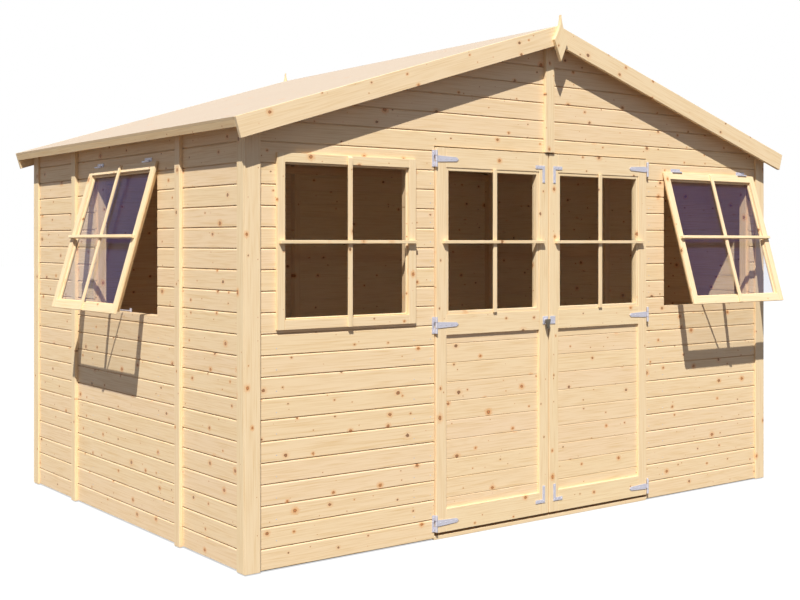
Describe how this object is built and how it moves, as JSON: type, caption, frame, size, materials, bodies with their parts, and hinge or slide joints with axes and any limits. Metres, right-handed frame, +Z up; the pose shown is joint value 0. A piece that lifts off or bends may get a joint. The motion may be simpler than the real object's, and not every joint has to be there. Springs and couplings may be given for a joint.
{
  "type": "wooden garden shed",
  "caption": "Wooden garden shed with a low-pitch gable roof, horizontal board walls, glazed double doors that swing outward, and square windows, two of them fixed ajar.",
  "frame": {"origin": "On the ground, at the centre of the plan of the walls, under the middle floor bearer.", "axes": "+X to the right as seen from the front, along the front wall; the doors face -Y; +Z up."},
  "size_m": [3.8055, 2.7605, 2.5284],
  "materials": {
    "wall_boards": "bare planed softwood, satin",
    "roof_boards": "bare planed softwood, pale",
    "trim": "bare planed softwood, satin",
    "framing": "bare sawn softwood",
    "floor_boards": "bare sawn softwood",
    "glazing": "clear float glass",
    "ironwork": "zinc plated steel"
  },
  "bodies": {
    "shed": {"floor_bearers": "framing", "floor_deck": "floor_boards", "threshold": "trim", "front_wall_left": "wall_boards", "front_wall_right": "wall_boards", "front_gable": "wall_boards", "left_wall_ends": "wall_boards", "left_wall_middle": "wall_boards", "right_wall": "wall_boards", "back_wall": "wall_boards", "back_gable": "wall_boards", "bottom_plates": "framing", "top_plates": "framing", "corner_posts": "framing", "wall_studs": "framing", "window_rails": "framing", "door_stops": "trim", "gable_rafters": "framing", "purlins": "framing", "roof_left": "roof_boards", "roof_right": "roof_boards", "eaves_fascias": "trim", "bargeboards": "trim", "finials": "trim", "corner_trims": "trim", "cover_strips": "trim", "front_left_sash": "trim", "front_right_sash": "trim", "side_sash": "trim", "window_glass": "glazing", "window_hinges": "ironwork", "window_stays": "ironwork", "hinge_plates": "ironwork"},
    "left_door": {"left_door_frame": "trim", "left_door_boards": "wall_boards", "left_door_glass": "glazing", "left_door_hinges": "ironwork", "left_door_brackets": "ironwork", "door_latch": "ironwork"},
    "right_door": {"right_door_frame": "trim", "right_door_boards": "wall_boards", "right_door_glass": "glazing", "right_door_hinges": "ironwork", "right_door_brackets": "ironwork", "latch_keeper": "ironwork"}
  },
  "joints": [
    {"name": "left_door_hinge", "type": "hinge", "parent": "shed", "child": "left_door", "pos_m": [-0.73, -1.229, 0.9], "axis": [0, 0, -1], "range_deg": [0, 110]},
    {"name": "right_door_hinge", "type": "hinge", "parent": "shed", "child": "right_door", "pos_m": [0.73, -1.229, 0.9], "axis": [0, 0, 1], "range_deg": [0, 110]}
  ]
}
